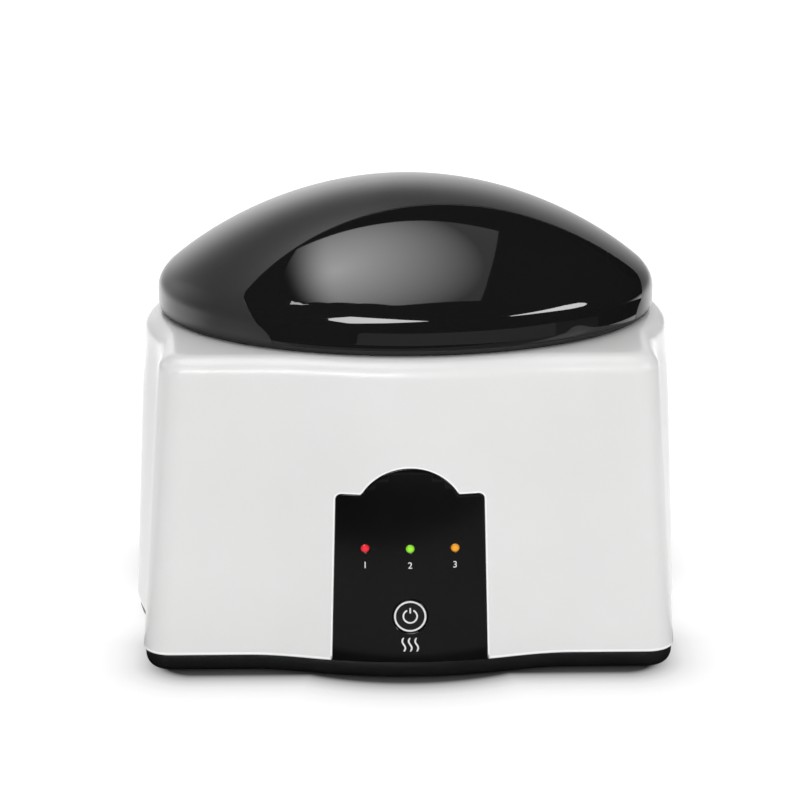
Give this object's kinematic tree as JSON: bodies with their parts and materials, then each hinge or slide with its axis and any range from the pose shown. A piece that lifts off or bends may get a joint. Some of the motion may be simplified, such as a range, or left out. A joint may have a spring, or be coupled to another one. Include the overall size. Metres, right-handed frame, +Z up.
{
  "type": "steam nail polish remover",
  "caption": "Desktop steam remover: white moulded body on a black tray, finger holes under a hinged oval black cover with a glossy visor, and a control panel with lamps and a push button.",
  "frame": {"origin": "on the surface the feet stand on, under the middle of the body's oval plan", "axes": "+X to the right as seen from the front, +Y towards the hinge at the back, +Z up"},
  "size_m": [0.203, 0.151, 0.1679],
  "materials": {
    "white_abs": "satin white moulding",
    "black_tray_plastic": "matt black moulding",
    "black_rubber": "matt",
    "screw_steel": "zinc-plated",
    "black_gloss_panel": "polished",
    "black_button": "satin",
    "red_lens": "translucent, lit",
    "green_lens": "translucent, lit",
    "amber_lens": "translucent, lit",
    "dark_plastic": "fine spark texture",
    "clear_epoxy": "clear",
    "circuit_board": "solder mask",
    "deck_plastic": "fine spark texture",
    "chamber_plastic": "heat-resistant moulding",
    "stainless_steel": "spun",
    "silicone": "soft",
    "cast_aluminium": "as cast",
    "ceramic": "fired",
    "mica": "layered",
    "sheet_steel": "galvanised",
    "thermostat_metal": "drawn",
    "fuse_metal": "tinned",
    "relay_plastic": "moulded",
    "capacitor_sleeve": "shrink sleeve",
    "terminal_plastic": "moulded",
    "brass_pins": "nickel-plated",
    "wire_brown": "insulated",
    "wire_red": "insulated",
    "wire_grey": "insulated",
    "satin_black_abs": "satin",
    "gloss_visor": "mirror polished",
    "hinge_enamel": "black enamel",
    "pin_steel": "ground"
  },
  "bodies": {
    "housing": {"body_shell": "white_abs", "base_tray": "black_tray_plastic", "rubber_feet": "black_rubber", "base_screws": "screw_steel", "control_fascia": "black_gloss_panel", "red_lamp": "red_lens", "green_lamp": "green_lens", "amber_lamp": "amber_lens", "lamp_holder": "dark_plastic", "indicator_leds": "clear_epoxy", "control_board": "circuit_board", "control_board_screws": "screw_steel", "tact_switch": "dark_plastic", "finger_deck": "deck_plastic", "finger_deck_screws": "screw_steel", "steam_chamber": "chamber_plastic", "evaporation_dish": "stainless_steel", "dish_seal": "silicone", "heater_block": "cast_aluminium", "heater_element": "ceramic", "insulating_sheet": "mica", "heater_bracket": "sheet_steel", "heater_bracket_screws": "screw_steel", "thermostat": "thermostat_metal", "thermal_fuse": "fuse_metal", "power_board": "circuit_board", "power_board_screws": "screw_steel", "relay": "relay_plastic", "smoothing_capacitor": "capacitor_sleeve", "terminal_block": "terminal_plastic", "power_inlet": "dark_plastic", "inlet_pins": "brass_pins", "mains_wires": "wire_brown", "heater_wires": "wire_red", "signal_cable": "wire_grey", "hinge_bracket": "hinge_enamel", "hinge_bracket_screws": "screw_steel", "hinge_pin": "pin_steel"},
    "cover": {"cover_shell": "satin_black_abs", "cover_visor": "gloss_visor", "cover_liner": "dark_plastic", "liner_screws": "screw_steel", "cover_bumpers": "black_rubber", "hinge_arms": "hinge_enamel", "hinge_arm_screws": "screw_steel"},
    "button": {"power_button": "black_button"}
  },
  "joints": [
    {"name": "cover_hinge", "type": "hinge", "parent": "housing", "child": "cover", "pos_m": [0, 0.07, 0.1245], "axis": [-1, 0, 0], "range_deg": [0, 100]},
    {"name": "button_push", "type": "slide", "parent": "housing", "child": "button", "axis": [0, 0.9986, -0.0531], "range_m": [0, 0.001], "stiffness_N_per_m": 600, "springref_m": -0.0005}
  ]
}
